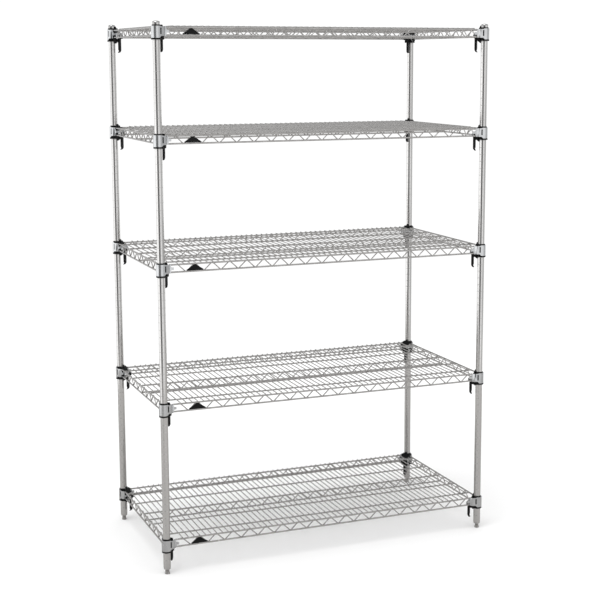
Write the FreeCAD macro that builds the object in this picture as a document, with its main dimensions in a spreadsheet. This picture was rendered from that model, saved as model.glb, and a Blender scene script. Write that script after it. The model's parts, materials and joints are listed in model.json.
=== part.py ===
"""Five-tier wire shelving rack on four grooved posts, corner levers, levelling feet.

Frame: millimetres, +Z up, +X along the long side, front at -Y, origin on the floor
midway between the four posts.  Shelves are numbered 1 (top) to 5 (bottom).
"""
import FreeCAD
import Part
import math
import os

import Sketcher

V = FreeCAD.Vector
DOC = FreeCAD.newDocument("wire_rack")

# alias, value, unit ("" for a plain number), meaning
DIMENSIONS = (
    ("span_long", 1219.2, "mm", "post centre to post centre, along X"),
    ("span_deep", 609.6, "mm", "post centre to post centre, along Y"),
    ("seat_bottom", 81.8, "mm", "seat height of shelf 5 above the floor"),
    ("lift_four", 482.6, "mm", "shelf 4 above shelf 5"),
    ("lift_three", 965.2, "mm", "shelf 3 above shelf 5"),
    ("lift_two", 1397.0, "mm", "shelf 2 above shelf 5"),
    ("lift_one", 1752.6, "mm", "shelf 1 above shelf 5"),
    ("post_dia", 25.4, "mm", "post tube outside diameter"),
    ("post_wall", 1.5, "mm", "post tube wall"),
    ("post_low", 17.0, "mm", "bottom end of the post tube"),
    ("post_high", 1886.0, "mm", "top end of the post tube"),
    ("taper_rise", 9.0, "mm", "height of the tapered lower end"),
    ("taper_drop", 1.1, "mm", "radius lost over the tapered end"),
    ("notch_pitch", 25.4, "mm", "post groove pitch"),
    ("notch_first", 51.0, "mm", "centre height of the lowest groove"),
    ("notch_depth", 0.4, "mm", "groove depth"),
    ("notch_width", 1.4, "mm", "groove width"),
    ("notch_count", 72, "", "grooves per post"),
    ("cap_rise", 6.0, "mm", "domed cap above the tube end"),
    ("cap_over", 0.6, "mm", "cap flange beyond the tube radius"),
    ("cap_lip", 1.6, "mm", "straight lip under the dome"),
    ("plug_chamfer", 1.0, "mm", "lead-in of the cap plug"),
    ("plug_depth", 14.0, "mm", "cap plug inside the tube"),
    ("insert_high", 30.0, "mm", "length of the threaded insert in the foot of the post"),
    ("bolt_dia", 10.0, "mm", "levelling bolt stem"),
    ("bolt_top", 46.0, "mm", "top of the levelling bolt"),
    ("bolt_fit", 0.06, "mm", "radial running clearance"),
    ("hex_flats", 13.0, "mm", "bolt hexagon across flats"),
    ("hex_low", 7.3, "mm", "underside of the hexagon"),
    ("hex_high", 6.0, "mm", "hexagon thickness"),
    ("glide_dia", 18.0, "mm", "foot pad diameter"),
    ("glide_top_dia", 15.0, "mm", "foot pad upper diameter"),
    ("glide_high", 7.0, "mm", "foot pad height"),
    ("glide_rim", 3.0, "mm", "height where the foot pad starts to narrow"),
    ("glide_chamfer", 0.8, "mm", "chamfer round the foot pad"),
    ("stud_play", 0.3, "mm", "gap under the stud in the foot pad"),
    ("stud_dia", 8.0, "mm", "bolt stud turning in the foot pad"),
    ("stud_low", 2.5, "mm", "lower end of that stud"),
    ("rod_dia", 5.7, "mm", "truss rod diameter"),
    ("rod_single_dia", 5.0, "mm", "single stiffening rod diameter"),
    ("rod_high_z", 36.5, "mm", "upper truss rod above the seat"),
    ("rod_low_z", 11.0, "mm", "lower truss rod above the seat"),
    ("rod_setback", 26.5, "mm", "rod end from the post axis"),
    ("stiff_pitch", 122.0, "mm", "spacing of the stiffening rods"),
    ("wire_dia", 3.5, "mm", "deck wire diameter"),
    ("wire_pitch", 20.733, "mm", "deck wire spacing"),
    ("wire_shift", 7.0, "mm", "deck pattern offset towards +X"),
    ("wire_half_count", 27, "", "full deck wires either side of the middle one"),
    ("wire_overhang", 2.6, "mm", "deck wire end beyond the rod axis"),
    ("snake_dia", 3.8, "mm", "bent truss wire diameter"),
    ("snake_bend", 5.0, "mm", "centreline bend radius of the truss wire"),
    ("snake_tail", 6.0, "mm", "straight tail at each end of the truss wire"),
    ("snake_waves", 18, "", "periods in a long truss wire"),
    ("snake_waves_side", 8, "", "periods in a side truss wire"),
    ("sleeve_low", -3.6, "mm", "bottom of the post sleeve"),
    ("sleeve_flange", 5.0, "mm", "thickness of the sleeve flange"),
    ("sleeve_top", 45.0, "mm", "top of the post sleeve"),
    ("sleeve_flange_rad", 17.2, "mm", "sleeve flange radius"),
    ("sleeve_rad_low", 15.75, "mm", "sleeve radius above the flange"),
    ("sleeve_rad_top", 14.2, "mm", "sleeve radius at the top"),
    ("sleeve_chamfer", 0.8, "mm", "chamfer round the top of the sleeve"),
    ("bead_height", 20.0, "mm", "locking bead above the seat"),
    ("bead_rad", 12.4, "mm", "radius reached by the locking bead"),
    ("bead_width", 0.8, "mm", "bead width"),
    ("sleeve_kerf", 0.5, "mm", "gap between the sleeve halves"),
    ("ramp_width", 31.0, "mm", "inner ramp block width"),
    ("ramp_reach", 25.2, "mm", "inner ramp block face from the post axis"),
    ("ramp_low", 27.0, "mm", "height where the ramp starts"),
    ("ramp_root", 0.8, "mm", "ramp block starts this far outside the post"),
    ("ramp_crest", 1.2, "mm", "ramp block thickness left at the top"),
    ("ramp_chamfer", 1.0, "mm", "chamfer under the ramp block"),
    ("fin_low", -10.5, "mm", "lower point of the fin on the ramp block"),
    ("fin_high", 51.0, "mm", "upper point of that fin"),
    ("fin_blunt", 1.6, "mm", "fin width left at its points"),
    ("fin_width", 9.0, "mm", "fin thickness"),
    ("collar_low", 2.0, "mm", "bottom of the corner bracket"),
    ("collar_high", 41.0, "mm", "top of the corner bracket"),
    ("collar_rad", 17.4, "mm", "corner bracket outside radius"),
    ("collar_gap", 0.35, "mm", "bracket to sleeve clearance"),
    ("sheet_gauge", 2.0, "mm", "bracket metal thickness"),
    ("panel_slope", 15.0, "deg", "angle between the bracket panel and the rods"),
    ("panel_end", 24.0, "mm", "where the panel turns in towards the rods"),
    ("wing_bend", 28.5, "mm", "where the wing turns parallel to the rods"),
    ("wing_end", 43.0, "mm", "end of the wing"),
    ("wing_low", 8.0, "mm", "lower edge of the wing"),
    ("wing_high", 39.0, "mm", "upper edge of the wing"),
    ("wing_step_low", -7.0, "mm", "where the lower wing edge steps up"),
    ("wing_step_high", -5.0, "mm", "where the upper wing edge steps down"),
    ("wing_slope_low", 6.0, "mm", "length of the lower step"),
    ("wing_slope_high", 2.0, "mm", "length of the upper step"),
    ("taper_near", 18.9, "mm", "where the wing starts to taper, along the diagonal"),
    ("taper_far", 21.0, "mm", "where the wing has tapered to its tab, along the diagonal"),
    ("tab_low", 19.0, "mm", "lower edge of the wing tab"),
    ("tab_high", 28.0, "mm", "upper edge of the wing tab"),
    ("slot_wide", 4.2, "mm", "window in the bracket, width"),
    ("slot_low", 14.0, "mm", "window lower edge"),
    ("slot_high", 35.0, "mm", "window upper edge"),
    ("slot_turn", 96.0, "deg", "window direction from the inward diagonal"),
    ("strap_face", 25.6, "mm", "diagonal strap inner face from the post axis"),
    ("strap_low", 19.5, "mm", "strap lower edge"),
    ("strap_high", 27.5, "mm", "strap upper edge"),
    ("strap_half", 32.3, "mm", "strap half length"),
    ("ear_gap", 30.4, "mm", "clear width between the lever ears"),
    ("ear_reach", 5.6, "mm", "ear edge from the lever pivot"),
    ("ear_waist", 3.0, "mm", "half length of the ear's straight edges"),
    ("ear_crown", 4.5, "mm", "ear shoulder above the lever pivot"),
    ("ear_heel", 3.6, "mm", "ear heel below the lever pivot"),
    ("ear_lead", 2.4, "mm", "ear width at the top of the strap"),
    ("ear_play", 0.3, "mm", "clearance behind the lever head"),
    ("pivot_out", 32.5, "mm", "lever pivot from the post axis"),
    ("pivot_z", 12.5, "mm", "lever pivot above the seat"),
    ("pin_dia", 5.0, "mm", "lever trunnion diameter"),
    ("head_width", 29.6, "mm", "lever head width"),
    ("hub_rad", 5.0, "mm", "lever hub radius"),
    ("stem_width", 9.0, "mm", "lever stem width"),
    ("stem_far", 36.0, "mm", "stem face farthest from the post"),
    ("head_low", 6.0, "mm", "where the head has narrowed to the stem"),
    ("head_full", 10.0, "mm", "where the head starts to narrow"),
    ("hook_low", -44.5, "mm", "underside of the lever hook"),
    ("hook_thick", 8.2, "mm", "thickness of the stem and its hook"),
    ("hook_bend", 11.5, "mm", "outside radius of the bend from stem to hook"),
    ("hook_sweep", 80.0, "deg", "angle the hook bends through"),
    ("hook_point", 1.5, "mm", "thickness left at the hook's tip"),
    ("back_bend", 9.0, "mm", "where the lever back turns straight, below the pivot"),
    ("throat", 4.0, "mm", "where the lever throat turns straight, below the head"),
    ("tip_taper", 1.5, "mm", "corner cut from each side of the hook"),
    ("plate_base", 60.0, "mm", "name plate base"),
    ("plate_crest", 6.0, "mm", "name plate flat at the top"),
    ("plate_low", 14.2, "mm", "name plate lower edge"),
    ("plate_high", 33.3, "mm", "name plate upper edge"),
    ("plate_thick", 4.85, "mm", "name plate thickness"),
    ("plate_recess", 0.6, "mm", "depth of its blank panel"),
    ("plate_rim", 2.2, "mm", "rim left round the blank panel"),
    ("plate_corner", 2.0, "mm", "blunted corner height of the name plate"),
    ("plate_blunt", 1.5, "mm", "blunted corner width of the name plate"),
    ("panel_crest", 2.5, "mm", "half width of the blank panel at the top"),
)

SHEET = DOC.addObject("Spreadsheet::Sheet", "Dims")
for row, (alias, value, unit, meaning) in enumerate(DIMENSIONS, 1):
    SHEET.set("A%d" % row, meaning)
    SHEET.set("B%d" % row, "=%s %s" % (value, unit))
    SHEET.setAlias("B%d" % row, alias)
DOC.recompute()


def dim(alias):
    """Value of a driving dimension in millimetres (or degrees, or a count)."""
    value = SHEET.get(alias)
    return float(getattr(value, "Value", value))


CORNERS = (
    ("fl", -1, -1, 45.0),
    ("fr", 1, -1, 135.0),
    ("br", 1, 1, 225.0),
    ("bl", -1, 1, 315.0),
)
SEATS = (
    (1, "Dims.seat_bottom + Dims.lift_one"),
    (2, "Dims.seat_bottom + Dims.lift_two"),
    (3, "Dims.seat_bottom + Dims.lift_three"),
    (4, "Dims.seat_bottom + Dims.lift_four"),
    (5, "Dims.seat_bottom"),
)
POST_RAD = dim("post_dia") / 2.0
ROD_RAD = dim("rod_dia") / 2.0
PAST = 1.0  # cutters run this far past the metal
SWEEP_TOLERANCE = 0.002


# ---------------------------------------------------------------- helpers
def new_body(name):
    body = DOC.addObject("PartDesign::Body", name)
    body.Label = name
    return body


def plane(body, role):
    for feature in body.Origin.OriginFeatures:
        if feature.Role == role:
            return feature
    raise ValueError("no origin feature " + role)


def new_sketch(body, role, name, lift=None):
    """Sketch flat on an origin plane, raised along its normal by an expression."""
    sketch = body.newObject("Sketcher::SketchObject", name)
    sketch.AttachmentSupport = (plane(body, role), [""])
    sketch.MapMode = "FlatFace"
    if lift:
        sketch.setExpression("AttachmentOffset.Base.z", lift)
    return sketch


def outline(sketch, points):
    """Closed polygon through 2-D points, corners tied together."""
    count = len(points)
    first = sketch.GeometryCount
    for index in range(count):
        start = points[index]
        end = points[(index + 1) % count]
        sketch.addGeometry(Part.LineSegment(V(start[0], start[1], 0), V(end[0], end[1], 0)), False)
    for index in range(count):
        follow = first + (index + 1) % count
        sketch.addConstraint(Sketcher.Constraint("Coincident", first + index, 2, follow, 1))


def disc(sketch, x, y, radius_expression):
    """Circle whose radius follows the sheet."""
    geometry = sketch.addGeometry(Part.Circle(V(x, y, 0), V(0, 0, 1), 1.0), False)
    index = sketch.addConstraint(Sketcher.Constraint("Radius", geometry, 1.0))
    sketch.setExpression("Constraints[%d]" % index, radius_expression)
    return geometry


def extrude(body, kind, sketch, name, length, middle=False, backwards=False):
    feature = body.newObject("PartDesign::" + kind, name)
    feature.Profile = sketch
    feature.setExpression("Length", length)
    if middle:
        feature.SideType = "Symmetric"
    feature.Reversed = backwards
    body.Tip = feature
    return feature


def spin(body, kind, sketch, name):
    """Full turn of a profile about the sketch's vertical axis."""
    feature = body.newObject("PartDesign::" + kind, name)
    feature.Profile = sketch
    feature.ReferenceAxis = (sketch, ["V_Axis"])
    feature.Angle = 360.0
    body.Tip = feature
    return feature


def row_pattern(body, source, name, sketch, axis, length, count):
    feature = body.newObject("PartDesign::LinearPattern", name)
    feature.Originals = [source]
    feature.Direction = (sketch, [axis])
    feature.setExpression("Length", length)
    feature.setExpression("Occurrences", count)
    body.Tip = feature
    return feature


def arc_points(centre, radius, start, end, steps=8):
    """Points along an arc, angles in degrees."""
    points = []
    for index in range(steps + 1):
        angle = math.radians(start + (end - start) * index / steps)
        points.append((centre[0] + radius * math.cos(angle), centre[1] + radius * math.sin(angle)))
    return points


def group(label, members):
    compound = DOC.addObject("Part::Compound", label)
    compound.Label = label
    compound.Links = members
    return compound


def at_corner(label, members, corner, height=None):
    """Copy of the corner parts standing at one post, turned to face inwards."""
    sign_x, sign_y, turn = corner[1], corner[2], corner[3]
    compound = group(label, members)
    compound.Placement = FreeCAD.Placement(V(0, 0, 0), FreeCAD.Rotation(V(0, 0, 1), turn))
    compound.setExpression("Placement.Base.x", "%d * Dims.span_long / 2" % sign_x)
    compound.setExpression("Placement.Base.y", "%d * Dims.span_deep / 2" % sign_y)
    if height:
        compound.setExpression("Placement.Base.z", height)
    return compound


def four_corners(label, members):
    """One node holding the same parts at all four posts."""
    copies = [at_corner(label + "_" + corner[0], members, corner) for corner in CORNERS]
    return group(label, copies)


def raised(label, members, height):
    compound = group(label, members)
    compound.setExpression("Placement.Base.z", height)
    return compound


# ---------------------------------------------------------------- post, cap, insert
def build_post():
    body = new_body("post_tube")
    bore = POST_RAD - dim("post_wall")
    low, high = dim("post_low"), dim("post_high")
    profile = new_sketch(body, "XZ_Plane", "post_profile")
    outline(profile, (
        (bore - dim("taper_drop"), low),
        (POST_RAD - dim("taper_drop"), low),
        (POST_RAD, low + dim("taper_rise")),
        (POST_RAD, high),
        (bore, high),
        (bore, low + dim("taper_rise")),
    ))
    spin(body, "Revolution", profile, "post_turned")
    notch = new_sketch(body, "XZ_Plane", "notch_profile")
    middle, half = dim("notch_first"), dim("notch_width") / 2.0
    bottom, flare = POST_RAD - dim("notch_depth"), dim("notch_depth") / 2.0
    outline(notch, (
        (bottom, middle - half + flare),
        (POST_RAD + PAST, middle - half - flare),
        (POST_RAD + PAST, middle + half + flare),
        (bottom, middle + half - flare),
    ))
    cut = spin(body, "Groove", notch, "notch")
    row_pattern(body, cut, "notches", notch, "V_Axis",
                "(Dims.notch_count - 1) * Dims.notch_pitch", "Dims.notch_count")
    return body


def build_cap():
    body = new_body("post_cap")
    bore = POST_RAD - dim("post_wall")
    low, rise = dim("post_high"), dim("cap_rise")
    rim = POST_RAD + dim("cap_over")
    crown = rise - dim("cap_lip")
    sphere = (rim * rim + crown * crown) / (2.0 * crown)
    reach = math.degrees(math.asin(rim / sphere))
    dome = arc_points((0.0, low + rise - sphere), sphere, 90.0, 90.0 - reach)
    under, lead = low - dim("plug_depth"), dim("plug_chamfer")
    points = [(0.0, under), (bore - lead, under), (bore, under + lead)]
    points += [(bore, low), (rim, low)]
    points += list(reversed(dome))
    profile = new_sketch(body, "XZ_Plane", "cap_profile")
    outline(profile, points)
    spin(body, "Revolution", profile, "cap_turned")
    return body


def build_insert():
    body = new_body("post_insert")
    bore = POST_RAD - dim("post_wall")
    hole = dim("bolt_dia") / 2.0 + dim("bolt_fit")
    low = dim("post_low")
    straight = low + dim("taper_rise")
    profile = new_sketch(body, "XZ_Plane", "insert_profile")
    outline(profile, (
        (hole, low),
        (bore - dim("taper_drop"), low),
        (bore, straight),
        (bore, low + dim("insert_high")),
        (hole, low + dim("insert_high")),
    ))
    spin(body, "Revolution", profile, "insert_turned")
    return body


# ---------------------------------------------------------------- levelling foot
def build_bolt():
    body = new_body("level_bolt")
    corner = dim("hex_flats") / math.sqrt(3.0)
    hexagon = new_sketch(body, "XY_Plane", "hex_profile", "Dims.hex_low")
    outline(hexagon, arc_points((0, 0), corner, 0.0, 300.0, 5))
    extrude(body, "Pad", hexagon, "hex_pad", "Dims.hex_high")
    stem = new_sketch(body, "XY_Plane", "stem_profile", "Dims.hex_low")
    disc(stem, 0, 0, "Dims.bolt_dia / 2")
    extrude(body, "Pad", stem, "stem_pad", "Dims.bolt_top - Dims.hex_low")
    stud = new_sketch(body, "XY_Plane", "stud_profile", "Dims.stud_low")
    disc(stud, 0, 0, "Dims.stud_dia / 2")
    extrude(body, "Pad", stud, "stud_pad", "Dims.hex_low - Dims.stud_low")
    return body


def build_glide():
    body = new_body("foot_pad")
    hole = dim("stud_dia") / 2.0 + dim("bolt_fit")
    floor_gap = dim("stud_low") - dim("stud_play")
    chamfer = dim("glide_chamfer")
    wide, narrow = dim("glide_dia") / 2.0, dim("glide_top_dia") / 2.0
    profile = new_sketch(body, "XZ_Plane", "glide_profile")
    outline(profile, (
        (0.0, 0.0),
        (wide - chamfer, 0.0),
        (wide, chamfer),
        (wide, dim("glide_rim")),
        (narrow, dim("glide_high")),
        (hole, dim("glide_high")),
        (hole, floor_gap),
        (0.0, floor_gap),
    ))
    spin(body, "Revolution", profile, "glide_turned")
    return body


# ---------------------------------------------------------------- post sleeve
def sleeve_ring(body):
    """Tapered ring with a bottom flange and an inner locking bead."""
    low, top = dim("sleeve_low"), dim("sleeve_top")
    shoulder = low + dim("sleeve_flange")
    bead, half = dim("bead_height"), dim("bead_width") / 2.0
    chamfer = dim("sleeve_chamfer")
    profile = new_sketch(body, "XZ_Plane", body.Name + "_profile")
    outline(profile, (
        (POST_RAD, low),
        (dim("sleeve_flange_rad"), low),
        (dim("sleeve_flange_rad"), shoulder),
        (dim("sleeve_rad_low"), shoulder),
        (dim("sleeve_rad_top"), top - chamfer),
        (dim("sleeve_rad_top") - chamfer, top),
        (POST_RAD, top),
        (POST_RAD, bead + half),
        (dim("bead_rad"), bead + half / 2.0),
        (dim("bead_rad"), bead - half / 2.0),
        (POST_RAD, bead - half),
    ))
    spin(body, "Revolution", profile, body.Name + "_turned")


def half_cut(body, side):
    """Remove the half of the sleeve on the given side of the split plane."""
    gap = side * dim("sleeve_kerf") / 2.0
    far = side * -2.0 * dim("ramp_reach")
    cutter = new_sketch(body, "XY_Plane", body.Name + "_split",
                        "Dims.sleeve_low - %g mm" % PAST)
    outline(cutter, ((gap, far), (gap, -far), (far, -far), (far, far)))
    extrude(body, "Pocket", cutter, body.Name + "_half",
            "Dims.sleeve_top - Dims.sleeve_low + %g mm" % (2.0 * PAST), backwards=True)


def build_sleeve():
    outer = new_body("sleeve_outer")
    sleeve_ring(outer)
    half_cut(outer, -1.0)
    inner = new_body("sleeve_inner")
    sleeve_ring(inner)
    root, reach = POST_RAD + dim("ramp_root"), dim("ramp_reach")
    low, top, chamfer = dim("sleeve_low"), dim("sleeve_top"), dim("ramp_chamfer")
    ramp = new_sketch(inner, "XZ_Plane", "ramp_profile")
    outline(ramp, (
        (root, low),
        (reach - chamfer, low),
        (reach, low + chamfer),
        (reach, dim("ramp_low")),
        (root + dim("ramp_crest"), top),
        (root, top),
    ))
    extrude(inner, "Pad", ramp, "ramp_pad", "Dims.ramp_width", middle=True)
    fin = new_sketch(inner, "XZ_Plane", "fin_profile")
    outline(fin, (
        (root, dim("fin_low")),
        (root + dim("fin_blunt"), dim("fin_low")),
        (reach - chamfer, low),
        (reach - chamfer, dim("ramp_low")),
        (root + dim("fin_blunt"), dim("fin_high")),
        (root, dim("fin_high")),
    ))
    extrude(inner, "Pad", fin, "fin_pad", "Dims.fin_width", middle=True)
    half_cut(inner, 1.0)
    return [outer, inner]


# ---------------------------------------------------------------- corner bracket
def diagonal(x, y):
    """Shelf-edge coordinates at a corner, turned so +X points along the diagonal."""
    return ((x + y) / math.sqrt(2.0), (y - x) / math.sqrt(2.0))


def mitre(point, before, after, offset):
    """Corner of the line run offset to the left of a bend, directions in radians."""
    first = V(-math.sin(before), math.cos(before), 0)
    second = V(-math.sin(after), math.cos(after), 0)
    shift = (first + second) * (offset / (1.0 + first.dot(second)))
    return (point[0] + shift.x, point[1] + shift.y)


def bracket_outline():
    """Plan of the bent sheet: round wrap, two panels turned in to the rods, tabs beside them."""
    rad, gauge, end = dim("collar_rad"), dim("sheet_gauge"), dim("wing_end")
    face = -ROD_RAD
    back = face - gauge
    slope = math.radians(dim("panel_slope"))
    touch = slope - math.pi / 2.0
    rise = (dim("panel_end") - rad * math.cos(touch)) * math.tan(slope)
    crease = (dim("panel_end"), rad * math.sin(touch) + rise)
    bend = (dim("wing_bend"), back)
    lip = math.atan2(bend[1] - crease[1], bend[0] - crease[0])
    inside = rad - gauge
    wing = (
        (end, face),
        mitre(bend, lip, 0.0, gauge),
        mitre(crease, slope, lip, gauge),
        (inside * math.cos(touch), inside * math.sin(touch)),
    )
    bore = dim("sleeve_rad_top") + dim("collar_gap")
    near = [diagonal(*point) for point in wing]
    start = math.degrees(touch) - 45.0
    inner = arc_points((0, 0), bore, start, -360.0 - start, 40)
    outer = arc_points((0, 0), rad, start, -360.0 - start, 40)
    far_edge = [diagonal(end, back), diagonal(*bend), diagonal(*crease)]
    points = near + inner
    points += [(x, -y) for x, y in reversed(near)]
    points += [(x, -y) for x, y in far_edge]
    points += list(reversed(outer))
    points += list(reversed(far_edge))
    return points


def build_bracket():
    body = new_body("bracket")
    low, high = dim("collar_low"), dim("collar_high")
    plan = new_sketch(body, "XY_Plane", "bracket_plan", "Dims.collar_low")
    outline(plan, bracket_outline())
    extrude(body, "Pad", plan, "bracket_wrap", "Dims.collar_high - Dims.collar_low")
    slope = (dim("sleeve_rad_low") - dim("sleeve_rad_top")) / (dim("sleeve_top") - low)
    bore = dim("sleeve_rad_top") + dim("collar_gap")
    under, over = low - PAST, high + PAST
    seat = new_sketch(body, "XZ_Plane", "taper_profile")
    outline(seat, (
        (0.0, under),
        (bore + slope * (dim("sleeve_top") - under), under),
        (bore + slope * (dim("sleeve_top") - over), over),
        (0.0, over),
    ))
    spin(body, "Groove", seat, "taper_seat")
    trim_wings(body, under, over)
    for side in (-1.0, 1.0):
        window(body, side)
    strap = new_sketch(body, "XY_Plane", "strap_plan", "Dims.strap_low")
    face, half = dim("strap_face"), dim("strap_half")
    back = face + dim("sheet_gauge")
    outline(strap, ((face, -half), (back, -half), (back, half), (face, half)))
    extrude(body, "Pad", strap, "strap_pad", "Dims.strap_high - Dims.strap_low")
    add_ears(body, face, back)
    return body


def trim_wings(body, under, over):
    """Cut both wings down to their own height, and their ends to a tab at the strap."""
    trim = new_sketch(body, "XZ_Plane", "wing_trim")
    far, low, high = 2.0 * dim("wing_end"), dim("wing_low"), dim("wing_high")
    near, tab = dim("taper_near"), dim("taper_far")
    step = dim("wing_step_low")
    outline(trim, (
        (step, under),
        (far, under),
        (far, dim("tab_low")),
        (tab, dim("tab_low")),
        (near, low),
        (step + dim("wing_slope_low"), low),
    ))
    step = dim("wing_step_high")
    outline(trim, (
        (step, over),
        (step + dim("wing_slope_high"), high),
        (near, high),
        (tab, dim("tab_high")),
        (far, dim("tab_high")),
        (far, over),
    ))
    extrude(body, "Pocket", trim, "wing_edges", "4 * Dims.wing_end", middle=True)


def window(body, side):
    """Upright window in the wrap, showing the sleeve behind it."""
    name = "window_left" if side < 0 else "window_right"
    cutter = body.newObject("PartDesign::SubtractiveBox", name)
    turn = FreeCAD.Rotation(V(0, 0, 1), side * dim("slot_turn"))
    wide, reach = dim("slot_wide"), 2.0 * (dim("sheet_gauge") + PAST)
    shift = turn.multVec(V(dim("sleeve_rad_top"), -wide / 2.0, 0))
    cutter.AttachmentSupport = (plane(body, "XY_Plane"), [""])
    cutter.MapMode = "FlatFace"
    cutter.AttachmentOffset = FreeCAD.Placement(V(shift.x, shift.y, dim("slot_low")), turn)
    cutter.Length = reach
    cutter.setExpression("Width", "Dims.slot_wide")
    cutter.setExpression("Height", "Dims.slot_high - Dims.slot_low")
    body.Tip = cutter


def add_ears(body, face, back):
    """Two ears under the strap with the lever's pivot holes."""
    behind = back + dim("ear_play")
    ears = new_sketch(body, "XZ_Plane", "ear_profile")
    out, level = dim("pivot_out"), dim("pivot_z")
    reach, waist = dim("ear_reach"), dim("ear_waist")
    outline(ears, (
        (face, dim("strap_high")),
        (back + dim("ear_lead"), dim("strap_high")),
        (out + reach, level + dim("ear_crown")),
        (out + reach, level - waist),
        (out + waist, level - reach),
        (out - waist, level - reach),
        (behind, level - dim("ear_heel")),
        (behind, dim("strap_low")),
        (face, dim("strap_low")),
    ))
    extrude(body, "Pad", ears, "ear_pad", "Dims.ear_gap + 2 * Dims.sheet_gauge", middle=True)
    between = new_sketch(body, "XZ_Plane", "ear_space")
    far, over = dim("wing_end"), dim("strap_high") + PAST
    outline(between, ((behind, 0.0), (far, 0.0), (far, over), (behind, over)))
    extrude(body, "Pocket", between, "ear_split", "Dims.ear_gap", middle=True)
    hole = new_sketch(body, "XZ_Plane", "pivot_hole")
    disc(hole, out, level, "Dims.pin_dia / 2 + Dims.bolt_fit")
    extrude(body, "Pocket", hole, "pivot_bore", "2 * Dims.wing_end", middle=True)


# ---------------------------------------------------------------- release lever
def taper_points(centre, bend, steps=8):
    """Inside of the hook from its tip up to the stem, thickening on the way."""
    thick, point = dim("hook_thick"), dim("hook_point")
    points = []
    for index in range(steps, -1, -1):
        share = index / steps
        radius = bend - thick + (thick - point) * share
        angle = math.radians(-dim("hook_sweep") * share)
        points.append((centre[0] + radius * math.cos(angle), centre[1] + radius * math.sin(angle)))
    return points


def build_lever():
    body = new_body("release_lever")
    out, level, hub = dim("pivot_out"), dim("pivot_z"), dim("hub_rad")
    far, bend = dim("stem_far"), dim("hook_bend")
    low, thick = dim("hook_low"), dim("hook_thick")
    near, centre = far - thick, (far - bend, low + bend)
    side = new_sketch(body, "XZ_Plane", "lever_side")
    points = arc_points((out, level), hub, 180.0, 0.0, 12)
    points += [(far, level - dim("back_bend"))]
    points += arc_points(centre, bend, 0.0, -dim("hook_sweep"))
    points += taper_points(centre, bend)
    throat = dim("throat")
    points += [(near, dim("head_low") - throat), (out - hub, dim("head_low") + throat / 2.0)]
    outline(side, points)
    extrude(body, "Pad", side, "lever_pad", "Dims.head_width", middle=True)
    waist = new_sketch(body, "YZ_Plane", "lever_waist")
    half, stem, wide = dim("head_width") / 2.0, dim("stem_width") / 2.0, dim("head_width")
    taper, under = dim("tip_taper"), low - PAST
    for sign in (-1.0, 1.0):
        outline(waist, (
            (sign * half, dim("head_full")),
            (sign * stem, dim("head_low")),
            (sign * stem, low + taper),
            (sign * (stem - taper), low),
            (sign * (stem - taper), under),
            (sign * wide, under),
            (sign * wide, dim("head_full")),
        ))
    extrude(body, "Pocket", waist, "lever_shape", "4 * Dims.stem_far", middle=True)
    pin = new_sketch(body, "XZ_Plane", "trunnion_profile")
    disc(pin, out, level, "Dims.pin_dia / 2")
    extrude(body, "Pad", pin, "trunnions", "Dims.ear_gap + 2 * Dims.sheet_gauge", middle=True)
    return body


# ---------------------------------------------------------------- shelf wires and rods
def build_deck():
    height = "Dims.rod_high_z + Dims.rod_dia / 2 + Dims.wire_dia / 2"
    level = dim("rod_high_z") + ROD_RAD + dim("wire_dia") / 2.0
    pitch, shift, half = dim("wire_pitch"), dim("wire_shift"), int(dim("wire_half_count"))
    full = new_body("deck_full")
    start = new_sketch(full, "XZ_Plane", "deck_wire_end")
    circle = disc(start, shift - half * pitch, level, "Dims.wire_dia / 2")
    across = start.addConstraint(Sketcher.Constraint("DistanceX", -1, 1, circle, 3, -1.0))
    start.setExpression("Constraints[%d]" % across,
                        "Dims.wire_shift - Dims.wire_half_count * Dims.wire_pitch")
    above = start.addConstraint(Sketcher.Constraint("DistanceY", -1, 1, circle, 3, 1.0))
    start.setExpression("Constraints[%d]" % above, height)
    wire = extrude(full, "Pad", start, "deck_wire",
                   "Dims.span_deep + 2 * Dims.wire_overhang", middle=True)
    row_pattern(full, wire, "deck_wires", start, "H_Axis",
                "2 * Dims.wire_half_count * Dims.wire_pitch", "2 * Dims.wire_half_count + 1")
    short = new_body("deck_short")
    ends = new_sketch(short, "XZ_Plane", "short_wire_ends")
    for index in (-half - 2, -half - 1, half + 1):
        disc(ends, shift + index * pitch, level, "Dims.wire_dia / 2")
    extrude(short, "Pad", ends, "short_wires",
            "4 * Dims.stiff_pitch + 4 * Dims.wire_overhang", middle=True)
    return [full, short]


def rod_set(name, role, spots, radius, length):
    """Parallel rods, one circle per spot, extruded both ways from the origin plane."""
    body = new_body(name)
    ends = new_sketch(body, role, name + "_ends")
    for across, up in spots:
        disc(ends, across, up, radius)
    extrude(body, "Pad", ends, name + "_pad", length, middle=True)
    return body


def build_rods():
    levels = (dim("rod_low_z"), dim("rod_high_z"))
    deep, long_half = dim("span_deep") / 2.0, dim("span_long") / 2.0
    edge = [(sign * deep, up) for sign in (-1, 1) for up in levels]
    sides = [(sign * long_half, up) for sign in (-1, 1) for up in levels]
    middle = [(0.0, up) for up in levels]
    single_up = dim("rod_high_z") + ROD_RAD - dim("rod_single_dia") / 2.0
    single = [(step * dim("stiff_pitch"), single_up) for step in (-2, -1, 1, 2)]
    between = "Dims.span_long - Dims.rod_dia"
    return [
        rod_set("edge_rods", "YZ_Plane", edge, "Dims.rod_dia / 2",
                "Dims.span_long - 2 * Dims.rod_setback"),
        rod_set("side_rods", "XZ_Plane", sides, "Dims.rod_dia / 2",
                "Dims.span_deep - 2 * Dims.rod_setback"),
        rod_set("middle_rods", "YZ_Plane", middle, "Dims.rod_dia / 2", between),
        rod_set("single_rods", "YZ_Plane", single, "Dims.rod_single_dia / 2", between),
    ]


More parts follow.
